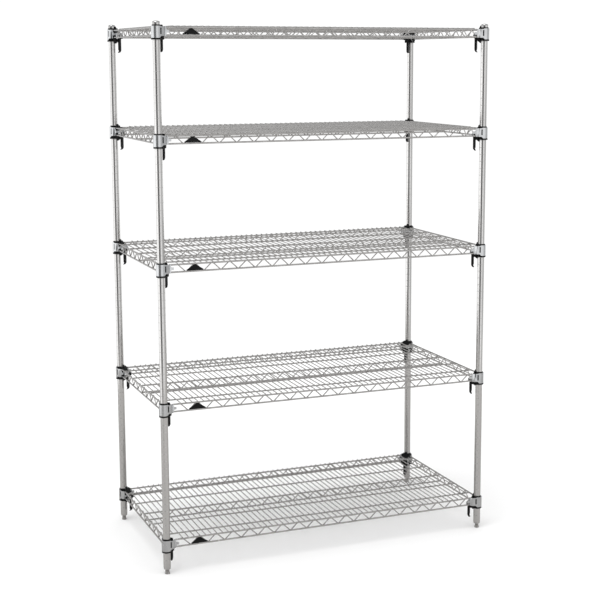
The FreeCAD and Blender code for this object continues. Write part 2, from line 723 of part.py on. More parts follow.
def snake_path(waves, peak_ends):
    """Centreline in the XZ plane: straight legs joined by tangent arcs, flat tails."""
    run = 3.0 * dim("wire_pitch") / 2.0
    low, high, bend = dim("rod_low_z"), dim("rod_high_z"), dim("snake_bend")
    lean = math.atan2(high - low - 2.0 * bend, run)
    lean += math.asin(2.0 * bend / math.hypot(run, high - low - 2.0 * bend))
    tail = dim("snake_tail")
    turns = 2 * waves + 1
    begin = -waves * run
    edges = []
    last = V(begin - tail, 0, high if peak_ends else low)
    for index in range(turns):
        crest = (index % 2 == 0) == peak_ends
        sign = 1.0 if crest else -1.0
        tip = V(begin + index * run, 0, high if crest else low)
        centre = tip - V(0, 0, sign * bend)
        before = V(-bend * math.sin(lean), 0, sign * bend * math.cos(lean)) + centre
        after = V(bend * math.sin(lean), 0, sign * bend * math.cos(lean)) + centre
        if index == 0:
            edges.append(Part.LineSegment(last, tip).toShape())
            edges.append(Part.Arc(tip, rolled(centre, sign, bend, lean / 2.0), after).toShape())
        elif index == turns - 1:
            edges.append(Part.LineSegment(last, before).toShape())
            edges.append(Part.Arc(before, rolled(centre, sign, bend, -lean / 2.0), tip).toShape())
            edges.append(Part.LineSegment(tip, tip + V(tail, 0, 0)).toShape())
        else:
            edges.append(Part.LineSegment(last, before).toShape())
            edges.append(Part.Arc(before, tip, after).toShape())
        last = after
    return Part.Wire(edges)


def rolled(centre, sign, bend, angle):
    """Point on a bend at the given angle from its crest."""
    return centre + V(bend * math.sin(angle), 0, sign * bend * math.cos(angle))


def sweep_snake(name, waves, peak_ends):
    """Bent wire swept along its path, its volume held to section times length."""
    path = snake_path(waves, peak_ends)
    radius = dim("snake_dia") / 2.0
    start = path.Edges[0].Vertexes[0].Point
    section = Part.Wire(Part.Circle(start, V(1, 0, 0), radius).toShape())
    solid = path.makePipeShell([section], True, False)
    expected = math.pi * radius * radius * path.Length
    if abs(solid.Volume - expected) > SWEEP_TOLERANCE * expected:
        raise ValueError("%s: swept volume %.0f, expected %.0f" % (name, solid.Volume, expected))
    feature = DOC.addObject("Part::Feature", name)
    feature.Label = name
    feature.Shape = solid
    return feature


def build_snakes():
    """Bent wires welded to the inner face of each pair of rods."""
    offset = "(Dims.rod_dia + Dims.snake_dia) / 2"
    long_wave = sweep_snake("snake_long", int(dim("snake_waves")), True)
    side_wave = sweep_snake("snake_side", int(dim("snake_waves_side")), False)
    rows = []
    for name, lane in (
        ("snake_front", "-Dims.span_deep / 2 + " + offset),
        ("snake_middle", offset),
        ("snake_back", "Dims.span_deep / 2 - " + offset),
    ):
        row = group(name, [long_wave])
        row.setExpression("Placement.Base.x", "Dims.wire_shift")
        row.setExpression("Placement.Base.y", lane)
        rows.append(row)
    for name, lane in (
        ("snake_left", "-Dims.span_long / 2 + " + offset),
        ("snake_right", "Dims.span_long / 2 - " + offset),
    ):
        row = group(name, [side_wave])
        row.Placement = FreeCAD.Placement(V(0, 0, 0), FreeCAD.Rotation(V(0, 0, 1), 90.0))
        row.setExpression("Placement.Base.x", lane)
        rows.append(row)
    return rows


def build_plate():
    """Blank triangular name plate held between the front rods."""
    body = new_body("plate")
    middle = dim("wire_shift") - 3.0 * dim("wire_pitch") * (dim("snake_waves") / 2.0 - 1.0)
    low, high = dim("plate_low"), dim("plate_high")
    base, crest, rim = dim("plate_base") / 2.0, dim("plate_crest") / 2.0, dim("plate_rim")
    corner, blunt, slant = dim("plate_corner"), dim("plate_blunt"), 3.0 * dim("plate_rim")
    shape = new_sketch(body, "XZ_Plane", "plate_shape", "Dims.span_deep / 2 - Dims.rod_dia / 2")
    outline(shape, (
        (middle - base, low + corner),
        (middle - base + blunt, low),
        (middle + base - blunt, low),
        (middle + base, low + corner),
        (middle + crest, high),
        (middle - crest, high),
    ))
    extrude(body, "Pad", shape, "plate_pad", "Dims.plate_thick")
    face = "Dims.span_deep / 2 - Dims.rod_dia / 2 + Dims.plate_thick - Dims.plate_recess"
    panel = new_sketch(body, "XZ_Plane", "panel_shape", face)
    outline(panel, (
        (middle - base + slant, low + rim),
        (middle + base - slant, low + rim),
        (middle + dim("panel_crest"), high - rim),
        (middle - dim("panel_crest"), high - rim),
    ))
    extrude(body, "Pocket", panel, "plate_panel",
            "Dims.plate_recess + %g mm" % PAST, backwards=True)
    return body


# ---------------------------------------------------------------- assembly nodes
def build_nodes():
    nodes = []
    post, bolt, glide, lever = build_post(), build_bolt(), build_glide(), build_lever()
    for corner in CORNERS:
        nodes.append(at_corner("post_" + corner[0], [post], corner))
        nodes.append(at_corner("foot_bolt_" + corner[0], [bolt], corner))
        nodes.append(at_corner("foot_pad_" + corner[0], [glide], corner))
    nodes.append(four_corners("post_caps", [build_cap()]))
    nodes.append(four_corners("post_inserts", [build_insert()]))
    sleeves = four_corners("sleeve_set", build_sleeve())
    brackets = four_corners("bracket_set", [build_bracket()])
    deck, plate = build_deck(), build_plate()
    frame = build_rods() + build_snakes()
    for number, height in SEATS:
        nodes.append(raised("wedges_%d" % number, [sleeves], height))
        nodes.append(raised("corner_brackets_%d" % number, [brackets], height))
        nodes.append(raised("deck_wires_%d" % number, deck, height))
        nodes.append(raised("trusses_%d" % number, frame, height))
        nodes.append(raised("name_plate_%d" % number, [plate], height))
        for corner in CORNERS:
            nodes.append(at_corner("lever_%d_%s" % (number, corner[0]), [lever], corner, height))
    return nodes


def check_and_export(nodes):
    DOC.recompute()
    for item in DOC.Objects:
        if "Invalid" in item.State or "Error" in item.State:
            raise RuntimeError(item.Label + " did not recompute")
    os.makedirs("parts", exist_ok=True)
    for node in nodes:
        shape = node.Shape
        if shape.isNull() or not shape.isValid() or not shape.Solids:
            raise RuntimeError(node.Label + " has no valid solid")
        shape.exportStep("parts/%s.step" % node.Label)


check_and_export(build_nodes())
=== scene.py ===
"""Looks for the five-tier wire shelving rack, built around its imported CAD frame."""

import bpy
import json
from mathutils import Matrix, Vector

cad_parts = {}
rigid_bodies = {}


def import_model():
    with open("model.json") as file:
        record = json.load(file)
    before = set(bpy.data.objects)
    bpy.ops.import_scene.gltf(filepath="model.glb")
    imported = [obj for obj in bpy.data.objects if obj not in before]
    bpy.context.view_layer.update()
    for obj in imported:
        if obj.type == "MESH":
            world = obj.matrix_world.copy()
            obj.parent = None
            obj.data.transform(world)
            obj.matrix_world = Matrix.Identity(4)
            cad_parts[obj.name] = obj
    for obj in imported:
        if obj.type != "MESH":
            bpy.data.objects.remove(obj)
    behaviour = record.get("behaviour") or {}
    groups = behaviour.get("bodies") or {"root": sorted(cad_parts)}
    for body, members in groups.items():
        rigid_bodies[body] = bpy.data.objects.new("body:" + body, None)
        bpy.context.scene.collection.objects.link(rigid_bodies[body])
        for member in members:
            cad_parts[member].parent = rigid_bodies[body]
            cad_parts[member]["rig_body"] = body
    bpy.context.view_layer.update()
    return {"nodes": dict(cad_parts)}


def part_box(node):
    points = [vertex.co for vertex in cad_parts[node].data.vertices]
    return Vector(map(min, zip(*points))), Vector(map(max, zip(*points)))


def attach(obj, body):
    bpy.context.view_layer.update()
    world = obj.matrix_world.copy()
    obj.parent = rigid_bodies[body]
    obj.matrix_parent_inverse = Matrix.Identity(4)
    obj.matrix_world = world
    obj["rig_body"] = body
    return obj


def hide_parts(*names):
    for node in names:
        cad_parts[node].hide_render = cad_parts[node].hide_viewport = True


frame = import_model()

import json
import math

import bmesh
import bpy
from mathutils import Matrix, Vector

MM = 0.001
INCH = 0.0254
CORNERS = {"fl": 45.0, "fr": 135.0, "br": 225.0, "bl": 315.0}
SHELVES = (1, 2, 3, 4, 5)


# ---------------------------------------------------------------- sizes from the frame
def centre_of(node):
    low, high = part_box(node)
    return (low + high) / 2.0


POST = {key: centre_of("post_" + key) for key in CORNERS}
HALF_LONG = POST["fr"].x
HALF_DEEP = POST["br"].y
post_low, post_high = (corner.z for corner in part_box("post_fl"))
POST_RADIUS = (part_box("post_fl")[1].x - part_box("post_fl")[0].x) / 2.0
POST_BORE = POST_RADIUS - 1.5 * MM
# Each sleeve's fin hangs this far below the height its shelf is seated at.
FIN_BELOW_SEAT = 10.5 * MM
SEAT = {k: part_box("wedges_%d" % k)[0].z + FIN_BELOW_SEAT for k in SHELVES}
ROD_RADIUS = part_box("trusses_1")[1].y - HALF_DEEP
WIRE_RADIUS = (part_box("deck_wires_1")[1].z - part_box("deck_wires_1")[0].z) / 2.0
WIRE_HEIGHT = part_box("deck_wires_1")[0].z + WIRE_RADIUS - SEAT[1]
WIRE_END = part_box("deck_wires_1")[1].y
ROD_UPPER = WIRE_HEIGHT - WIRE_RADIUS - ROD_RADIUS
ROD_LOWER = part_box("trusses_1")[0].z + ROD_RADIUS - SEAT[1]
WIRE_PITCH = 20.733 * MM
WIRE_SHIFT = 7.0 * MM
WIRE_FULL = 27
WIRE_PAST_STIFFENER = 5.0 * MM
ROD_SETBACK = 26.5 * MM
STIFFENER_PITCH = 122.0 * MM
STIFFENER_RADIUS = 2.5 * MM
SNAKE_RADIUS = 1.9 * MM
SNAKE_BEND = 5.0 * MM
SNAKE_TAIL = 6.0 * MM
SNAKE_BEND_STEPS = 4
LONG_WAVES = 18
SIDE_WAVES = 8
NOTCH_PITCH = 25.4 * MM
NOTCH_FIRST = 51.0 * MM
NOTCH_COUNT = 72
# Section of a notch in millimetres: its depth, then (distance from the middle, depth) outside it.
NOTCH_DEPTH = 0.27
NOTCH_HALF = ((0.95, 0.0), (0.65, 0.0), (0.40, 0.10), (0.20, 0.23))
BRACKET_EDGE = 0.35 * MM
SLEEVE_EDGE = 0.4 * MM
PLATE_EDGE = 0.5 * MM
LEVER_EDGE = 0.5 * MM
EDGE_SEGMENTS = 2

# Sides round each turned or drawn shape.
POST_SIDES = 40
CAP_SIDES = 48
PAD_SIDES = 48
SCREW_SIDES = 32
HEX_SIDES = 6
WIRE_SIDES = 14
ROD_SIDES = 18
STIFFENER_SIDES = 16
SNAKE_SIDES = 12

FLOOR_SIZE = 5.6
FLOOR_IN_CHROME = 0.42
BACKDROP_STRENGTH = 1.05
SOFT_STRENGTH = 0.95
STUDIO_STRENGTH = 1.35
# Brightness of the reflected studio: (share of a turn about Z, grey) and (height, grey).
STUDIO_BANDS = (
    (0.0, 0.95), (0.045, 0.90), (0.07, 0.13), (0.185, 0.10), (0.215, 0.74), (0.33, 0.64),
    (0.37, 0.40), (0.47, 0.34), (0.52, 0.80), (0.60, 0.62), (0.68, 0.54), (0.80, 0.52),
    (0.85, 0.90), (1.0, 0.95),
)
STUDIO_FADE = ((0.0, 1.0), (0.12, 0.96), (0.3, 0.68), (0.5, 0.50), (1.0, 0.40))

CAMERA_PLACE = Vector((-71.20, -183.49, 69.66)) * INCH
CAMERA_YAW = 0.3944
CAMERA_PITCH = -0.1553
CAMERA_ROLL = -0.0011
CAMERA_SENSOR = 36.0
CAMERA_LENS = 81.1
CAMERA_SHIFT = -0.05
CAMERA_REACH = 200.0


# ---------------------------------------------------------------- mesh helpers
class Solid:
    """Vertices and faces gathered for one piece."""

    def __init__(self):
        self.points = []
        self.faces = []

    def add(self, points, faces, move=None):
        base = len(self.points)
        if move is not None:
            points = [move @ Vector(point) for point in points]
        self.points.extend(tuple(point) for point in points)
        self.faces.extend(tuple(base + index for index in face) for face in faces)

    def piece(self, name, material, sharp=40.0):
        mesh = bpy.data.meshes.new(name)
        mesh.from_pydata(self.points, [], self.faces)
        mesh.validate()
        mesh.materials.append(material)
        soften(mesh, sharp)
        obj = bpy.data.objects.new(name, mesh)
        bpy.context.scene.collection.objects.link(obj)
        return obj


def soften(mesh, sharp):
    mesh.shade_smooth()
    mesh.set_sharp_from_angle(angle=math.radians(sharp))


def lathe(profile, steps):
    """Turn an (r, z) profile about Z; ends on the axis are closed with fans."""
    on_axis = 1e-7
    points, faces, rings = [], [], []
    for radius, height in profile:
        if radius < on_axis:
            rings.append([len(points)])
            points.append((0.0, 0.0, height))
            continue
        start = len(points)
        for step in range(steps):
            angle = 2.0 * math.pi * step / steps
            points.append((radius * math.cos(angle), radius * math.sin(angle), height))
        rings.append(list(range(start, start + steps)))
    for lower, upper in zip(rings, rings[1:]):
        for step in range(steps):
            after = (step + 1) % steps
            if len(lower) == 1:
                faces.append((lower[0], upper[after], upper[step]))
            elif len(upper) == 1:
                faces.append((lower[step], lower[after], upper[0]))
            else:
                faces.append((lower[step], lower[after], upper[after], upper[step]))
    return points, faces


def closed_lathe(profile, steps):
    """Turn a closed (r, z) outline, so the piece has a bore."""
    points, faces = lathe(list(profile) + [profile[0]], steps)
    kept = len(points) - steps
    return points[:kept], [tuple(index % kept for index in face) for face in faces]


def tube(path, radius, sides, side_axis):
    """Round wire along a flat path, with chamfered ends; side_axis is the plane's normal."""
    side_axis = Vector(side_axis).normalized()
    last = len(path) - 1
    chamfer, end_scale = 0.3 * radius, 0.72
    insets = {0: chamfer, last: -chamfer}
    stations = [(0, 0.0, end_scale)]
    stations += [(index, insets.get(index, 0.0), 1.0) for index in range(last + 1)]
    stations += [(last, 0.0, end_scale)]
    points, faces = [], []
    for index, inset, scale in stations:
        before = path[max(index - 1, 0)]
        after = path[min(index + 1, last)]
        along = (after - before).normalized()
        out = side_axis.cross(along).normalized()
        centre = path[index] + along * inset
        for side in range(sides):
            angle = 2.0 * math.pi * side / sides
            arm = out * math.cos(angle) + side_axis * math.sin(angle)
            points.append(centre + arm * radius * scale)
    for ring in range(len(stations) - 1):
        for side in range(sides):
            after = (side + 1) % sides
            faces.append((
                ring * sides + side,
                ring * sides + after,
                (ring + 1) * sides + after,
                (ring + 1) * sides + side,
            ))
    end = (len(stations) - 1) * sides
    faces.append(tuple(reversed(range(sides))))
    faces.append(tuple(end + side for side in range(sides)))
    return points, faces


def rounded_copy(node, name, material, width):
    """The CAD node's shape with its edges broken, as a new piece."""
    weld, flat, smooth, corner = 1e-6, math.radians(1.0), 32.0, math.radians(35.0)
    mesh = frame["nodes"][node].data.copy()
    mesh.name = name
    work = bmesh.new()
    work.from_mesh(mesh)
    bmesh.ops.remove_doubles(work, verts=work.verts, dist=weld)
    bmesh.ops.dissolve_limit(work, angle_limit=flat, verts=work.verts, edges=work.edges)
    work.to_mesh(mesh)
    work.free()
    mesh.materials.clear()
    mesh.materials.append(material)
    soften(mesh, smooth)
    obj = bpy.data.objects.new(name, mesh)
    bpy.context.scene.collection.objects.link(obj)
    bevel = obj.modifiers.new("broken_edges", "BEVEL")
    bevel.width = width
    bevel.segments = EDGE_SEGMENTS
    bevel.limit_method = "ANGLE"
    bevel.angle_limit = corner
    bevel.harden_normals = True
    return obj


def place(obj, node):
    """Give a piece to its CAD body, standing for that body's node."""
    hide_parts(node)
    body = frame["nodes"][node]["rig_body"]
    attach(obj, body)


# ---------------------------------------------------------------- materials
def node_tree(name):
    material = bpy.data.materials.new(name)
    material.use_nodes = True
    tree = material.node_tree
    shader = tree.nodes["Principled BSDF"]
    coords = tree.nodes.new("ShaderNodeTexCoord")
    return material, tree, shader, coords


def noise(tree, coords, scale, detail, stretch=(1.0, 1.0, 1.0)):
    mapping = tree.nodes.new("ShaderNodeMapping")
    mapping.inputs["Scale"].default_value = stretch
    tree.links.new(coords.outputs["Object"], mapping.inputs["Vector"])
    texture = tree.nodes.new("ShaderNodeTexNoise")
    texture.inputs["Scale"].default_value = scale
    texture.inputs["Detail"].default_value = detail
    tree.links.new(mapping.outputs["Vector"], texture.inputs["Vector"])
    return texture.outputs["Fac"]


def ramp(tree, source, stops):
    node = tree.nodes.new("ShaderNodeValToRGB")
    elements = node.color_ramp.elements
    elements[0].position, elements[0].color = stops[0][0], stops[0][1]
    elements[1].position, elements[1].color = stops[-1][0], stops[-1][1]
    for position, colour in stops[1:-1]:
        elements.new(position).color = colour
    tree.links.new(source, node.inputs["Fac"])
    return node.outputs["Color"]


def grey(value, warmth=0.0):
    return (value * (1.0 + warmth), value, value * (1.0 - warmth), 1.0)


def add_bump(tree, shader, height, strength, distance):
    bump = tree.nodes.new("ShaderNodeBump")
    bump.inputs["Strength"].default_value = strength
    bump.inputs["Distance"].default_value = distance
    tree.links.new(height, bump.inputs["Height"])
    tree.links.new(bump.outputs["Normal"], shader.inputs["Normal"])


def plated(name, dark, light, rough_low, rough_high, stretch, warmth):
    """Bright plating: faint streaks along the drawn direction and uneven polish."""
    material, tree, shader, coords = node_tree(name)
    shader.inputs["Metallic"].default_value = 1.0
    streaks = noise(tree, coords, scale=60.0, detail=5.0, stretch=stretch)
    colour = ramp(tree, streaks, ((0.3, grey(dark, warmth)), (0.7, grey(light, warmth))))
    tree.links.new(colour, shader.inputs["Base Color"])
    cloud = noise(tree, coords, scale=22.0, detail=3.0)
    rough = ramp(tree, cloud, ((0.35, grey(rough_low)), (0.7, grey(rough_high))))
    tree.links.new(rough, shader.inputs["Roughness"])
    grain = noise(tree, coords, scale=900.0, detail=2.0, stretch=stretch)
    add_bump(tree, shader, grain, strength=0.04, distance=0.0004)
    return material


def moulded(name, dark, light):
    """Black moulded plastic with a fine spark-eroded grain."""
    material, tree, shader, coords = node_tree(name)
    patches = noise(tree, coords, scale=40.0, detail=4.0)
    colour = ramp(tree, patches, ((0.3, grey(dark, -0.05)), (0.75, grey(light, -0.05))))
    tree.links.new(colour, shader.inputs["Base Color"])
    worn = noise(tree, coords, scale=300.0, detail=4.0)
    rough = ramp(tree, worn, ((0.3, grey(0.34)), (0.7, grey(0.52))))
    tree.links.new(rough, shader.inputs["Roughness"])
    shader.inputs["Specular IOR Level"].default_value = 0.15
    grain = noise(tree, coords, scale=1800.0, detail=3.0)
    add_bump(tree, shader, grain, strength=0.18, distance=0.0002)
    return material


def zinc(name):
    """Dull zinc plate with a faint spangle."""
    material, tree, shader, coords = node_tree(name)
    shader.inputs["Metallic"].default_value = 1.0
    spangle = noise(tree, coords, scale=180.0, detail=4.0)
    colour = ramp(tree, spangle, ((0.3, grey(0.36, 0.03)), (0.7, grey(0.58, 0.02))))
    tree.links.new(colour, shader.inputs["Base Color"])
    worn = noise(tree, coords, scale=420.0, detail=3.0)
    rough = ramp(tree, worn, ((0.3, grey(0.28)), (0.7, grey(0.46))))
    tree.links.new(rough, shader.inputs["Roughness"])
    grain = noise(tree, coords, scale=700.0, detail=3.0)
    add_bump(tree, shader, grain, strength=0.15, distance=0.0003)
    return material


EVEN = (1.0, 1.0, 1.0)
TUBE_CHROME = plated("tube_chrome", dark=0.66, light=0.80, rough_low=0.10, rough_high=0.20,
                     stretch=(1.0, 1.0, 0.04), warmth=0.010)
WIRE_CHROME = plated("wire_chrome", dark=0.46, light=0.62, rough_low=0.16, rough_high=0.30,
                     stretch=EVEN, warmth=0.018)
SHEET_CHROME = plated("sheet_chrome", dark=0.60, light=0.76, rough_low=0.14, rough_high=0.28,
                      stretch=(1.0, 1.0, 0.3), warmth=-0.018)
CAP_CHROME = plated("cap_chrome", dark=0.66, light=0.82, rough_low=0.12, rough_high=0.24,
                    stretch=EVEN, warmth=0.0)
BLACK = moulded("black_moulding", dark=0.004, light=0.009)
ZINC = zinc("zinc_plate")


# ---------------------------------------------------------------- posts, caps, feet
def post_profile():
    """Outer skin from the drawn-in foot to the top, with a rounded groove every pitch.

    A ring on the plain tube each side of a groove keeps the tube between them shading straight.
    """
    drop, rise, edge = 1.1 * MM, 9.0 * MM, 0.4 * MM
    ease, ease_run = 0.15 * MM, 1.0 * MM
    profile = [
        (POST_BORE - drop, post_low),
        (POST_RADIUS - drop - edge, post_low),
        (POST_RADIUS - drop, post_low + 0.5 * MM),
        (POST_RADIUS - ease, post_low + rise - ease_run),
        (POST_RADIUS, post_low + rise + ease_run),
    ]
    groove = [(-along, depth) for along, depth in NOTCH_HALF]
    groove += [(0.0, NOTCH_DEPTH)] + list(reversed(NOTCH_HALF))
    for index in range(NOTCH_COUNT):
        middle = NOTCH_FIRST + index * NOTCH_PITCH
        profile += [(POST_RADIUS - depth * MM, middle + along * MM) for along, depth in groove]
    profile += [
        (POST_RADIUS, post_high - 0.6 * MM),
        (POST_RADIUS - edge, post_high),
        (POST_BORE, post_high),
        (POST_BORE, post_low + rise),
    ]
    return profile


def build_posts():
    points, faces = closed_lathe(post_profile(), POST_SIDES)
    for key in CORNERS:
        solid = Solid()
        solid.add(points, faces, Matrix.Translation((POST[key].x, POST[key].y, 0.0)))
        place(solid.piece("post_tube_" + key, TUBE_CHROME), "post_" + key)


def build_caps():
    """Plug in the tube's bore, a rounded rim on its end and a low dome above."""
    low = post_high
    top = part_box("post_caps")[1].z
    rim = POST_RADIUS + 0.6 * MM
    plug, lead_in, edge = 14.0 * MM, 1.5 * MM, 0.3 * MM
    dome_base, dome_inset, dome_steps = 1.9 * MM, 0.6 * MM, 8
    profile = [
        (0.0, low - plug),
        (POST_BORE - 1.0 * MM, low - plug),
        (POST_BORE, low - plug + lead_in),
        (POST_BORE, low),
        (rim - edge, low),
        (rim, low + edge),
        (rim, low + 1.3 * MM),
        (rim - 0.35 * MM, low + 1.75 * MM),
    ]
    rise = top - low - dome_base
    for step in range(1, dome_steps + 1):
        angle = math.radians(90.0 * step / dome_steps)
        radius = (rim - dome_inset) * math.cos(angle)
        profile.append((max(radius, 0.0), low + dome_base + rise * math.sin(angle)))
    points, faces = lathe(profile, CAP_SIDES)
    solid = Solid()
    for key in CORNERS:
        solid.add(points, faces, Matrix.Translation((POST[key].x, POST[key].y, 0.0)))
    place(solid.piece("domed_caps", CAP_CHROME), "post_caps")


def hexagon_ring(flats, height, scale):
    corner = flats / math.sqrt(3.0) * scale
    ring = []
    for index in range(HEX_SIDES):
        angle = math.radians(60.0 * index)
        ring.append((corner * math.cos(angle), corner * math.sin(angle), height))
    return ring


def hexagon(low, high, flats):
    """Hexagon with its top and bottom edges chamfered."""
    chamfer, end_scale = 0.6 * MM, 0.93
    rings = [
        hexagon_ring(flats, low, end_scale),
        hexagon_ring(flats, low + chamfer, 1.0),
        hexagon_ring(flats, high - chamfer, 1.0),
        hexagon_ring(flats, high, end_scale),
    ]
    points = [point for ring in rings for point in ring]
    last = (len(rings) - 1) * HEX_SIDES
    faces = [tuple(reversed(range(HEX_SIDES))), tuple(range(last, last + HEX_SIDES))]
    for base in range(0, last, HEX_SIDES):
        for side in range(HEX_SIDES):
            after = (side + 1) % HEX_SIDES
            above = base + HEX_SIDES
            faces.append((base + side, base + after, above + after, above + side))
    return points, faces


def thread_profile(low, high):
    """Ridged screw from just inside the hexagon to a chamfered tip."""
    crest, pitch = 5.0 * MM, 1.5 * MM
    root = crest - 0.9 * MM
    tip = crest - 1.6 * MM
    profile = [(0.0, low - 1.0 * MM), (root, low - 1.0 * MM)]
    turn = low
    while turn + pitch < high - 1.0 * MM:
        profile += [
            (root, turn + 0.2 * MM),
            (crest, turn + 0.65 * MM),
            (crest, turn + 0.85 * MM),
            (root, turn + 1.3 * MM),
        ]
        turn += pitch
    return profile + [(root, high - 0.8 * MM), (tip, high), (0.0, high)]


def stud_profile(low, hex_low):
    """Plain stud that turns in the pad's socket."""
    radius, edge = 4.0 * MM, 0.4 * MM
    top = hex_low + 1.0 * MM
    return [(0.0, low), (radius - edge, low), (radius, low + 0.5 * MM), (radius, top), (0.0, top)]


def pad_profile():
    """Flared pad with a rolled rim, a stepped shoulder and the stud socket."""
    wide, narrow, top = 9.0 * MM, 7.5 * MM, 7.0 * MM
    socket, floor = 4.06 * MM, 2.2 * MM
    edge = 0.3 * MM
    return [
        (0.0, 0.0),
        (wide - 1.0 * MM, 0.0),
        (wide - edge, edge),
        (wide, 1.0 * MM),
        (wide, 2.4 * MM),
        (wide - edge, 3.0 * MM),
        (narrow + 0.6 * MM, 5.0 * MM),
        (narrow, 6.6 * MM),
        (narrow - 0.4 * MM, top),
        (socket + edge, top),
        (socket, top - edge),
        (socket, floor),
        (0.0, floor),
    ]


def build_feet():
    low, high = (corner.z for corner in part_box("foot_bolt_fl"))
    hex_low, hex_high, flats = 7.3 * MM, 13.3 * MM, 13.0 * MM
    facet = 30.0
    stem_points, stem_faces = lathe(thread_profile(hex_high, high), SCREW_SIDES)
    stud_points, stud_faces = lathe(stud_profile(low, hex_low), SCREW_SIDES)
    nut_points, nut_faces = hexagon(hex_low, hex_high, flats)
    pad_points, pad_faces = lathe(pad_profile(), PAD_SIDES)
    for key in CORNERS:
        move = Matrix.Translation((POST[key].x, POST[key].y, 0.0))
        screw = Solid()
        screw.add(stem_points, stem_faces, move)
        screw.add(stud_points, stud_faces, move)
        screw.add(nut_points, nut_faces, move)
        place(screw.piece("level_screw_" + key, ZINC, facet), "foot_bolt_" + key)
        pad = Solid()
        pad.add(pad_points, pad_faces, move)
        place(pad.piece("level_pad_" + key, ZINC, facet), "foot_pad_" + key)


def finish_inserts():
    """The threaded inserts keep their CAD shape and get the zinc finish."""
    mesh = frame["nodes"]["post_inserts"].data
    mesh.materials.clear()
    mesh.materials.append(ZINC)


# ---------------------------------------------------------------- wires and rods
def straight(start, end, radius, sides):
    """Level round wire between two points."""
    return tube([Vector(start), Vector(end)], radius, sides, (0, 0, 1))


def build_deck(k):
    """Wires across the shelf; the outermost stop at the outer stiffeners."""
    level = SEAT[k] + WIRE_HEIGHT
    short_end = 2.0 * STIFFENER_PITCH + WIRE_PAST_STIFFENER
    solid = Solid()
    for index in range(-WIRE_FULL - 2, WIRE_FULL + 2):
        x = WIRE_SHIFT + index * WIRE_PITCH
        end = WIRE_END if abs(index) <= WIRE_FULL else short_end
        solid.add(*straight((x, -end, level), (x, end, level), WIRE_RADIUS, WIRE_SIDES))
    place(solid.piece("deck_%d" % k, WIRE_CHROME), "deck_wires_%d" % k)


def snake_points(waves, peak_ends):
    """Centreline of a zigzag wire along local X, heights above the seat."""
    run = 1.5 * WIRE_PITCH
    drop = ROD_UPPER - ROD_LOWER
    lean = math.atan2(drop - 2.0 * SNAKE_BEND, run)
    lean += math.asin(2.0 * SNAKE_BEND / math.hypot(run, drop - 2.0 * SNAKE_BEND))
    begin = -waves * run
    first = ROD_UPPER if peak_ends else ROD_LOWER
    points = [(begin - SNAKE_TAIL, first)]
    turns = 2 * waves + 1
    for index in range(turns):
        crest = (index % 2 == 0) == peak_ends
        sign = 1.0 if crest else -1.0
        centre = (begin + index * run, (ROD_UPPER if crest else ROD_LOWER) - sign * SNAKE_BEND)
        low = 0 if index == 0 else -SNAKE_BEND_STEPS
        high = 0 if index == turns - 1 else SNAKE_BEND_STEPS
        for step in range(low, high + 1):
            angle = lean * step / SNAKE_BEND_STEPS
            points.append((centre[0] + SNAKE_BEND * math.sin(angle),
                           centre[1] + sign * SNAKE_BEND * math.cos(angle)))
    points.append((-begin + SNAKE_TAIL, first))
    return points


def build_truss(k):
    """Edge and centre rods, single stiffeners and the zigzag wires between them."""
    solid = Solid()
    seat = SEAT[k]
    along, across = HALF_LONG - ROD_SETBACK, HALF_DEEP - ROD_SETBACK
    inner = HALF_LONG - ROD_RADIUS
    for level in (seat + ROD_LOWER, seat + ROD_UPPER):
        for side in (-1.0, 1.0):
            y, x = side * HALF_DEEP, side * HALF_LONG
            solid.add(*straight((-along, y, level), (along, y, level), ROD_RADIUS, ROD_SIDES))
            solid.add(*straight((x, -across, level), (x, across, level), ROD_RADIUS, ROD_SIDES))
        solid.add(*straight((-inner, 0, level), (inner, 0, level), ROD_RADIUS, ROD_SIDES))
    level = seat + ROD_UPPER + ROD_RADIUS - STIFFENER_RADIUS
    for step in (-2, -1, 1, 2):
        y = step * STIFFENER_PITCH
        start, end = (-inner, y, level), (inner, y, level)
        solid.add(*straight(start, end, STIFFENER_RADIUS, STIFFENER_SIDES))
    offset = ROD_RADIUS + SNAKE_RADIUS
    long_wave = snake_points(LONG_WAVES, True)
    for y in (-HALF_DEEP + offset, offset, HALF_DEEP - offset):
        path = [Vector((WIRE_SHIFT + s, y, seat + z)) for s, z in long_wave]
        solid.add(*tube(path, SNAKE_RADIUS, SNAKE_SIDES, (0, 1, 0)))
    side_wave = snake_points(SIDE_WAVES, False)
    for x in (-HALF_LONG + offset, HALF_LONG - offset):
        path = [Vector((x, s, seat + z)) for s, z in side_wave]
        solid.add(*tube(path, SNAKE_RADIUS, SNAKE_SIDES, (1, 0, 0)))
    place(solid.piece("truss_%d" % k, WIRE_CHROME), "trusses_%d" % k)


# ---------------------------------------------------------------- brackets, sleeves, levers
def build_corners(k):
    """Copies of the shelf's brackets, sleeves, name plate and levers with broken edges."""
    node = "corner_brackets_%d" % k
    brackets = rounded_copy(node, "brackets_%d" % k, SHEET_CHROME, BRACKET_EDGE)
    place(brackets, node)
    node = "wedges_%d" % k
    place(rounded_copy(node, "sleeves_%d" % k, BLACK, SLEEVE_EDGE), node)
    node = "name_plate_%d" % k
    place(rounded_copy(node, "plate_%d" % k, BLACK, PLATE_EDGE), node)
    for key in CORNERS:
        node = "lever_%d_%s" % (k, key)
        piece = "release_%d_%s" % (k, key)
        place(rounded_copy(node, piece, BLACK, LEVER_EDGE), node)


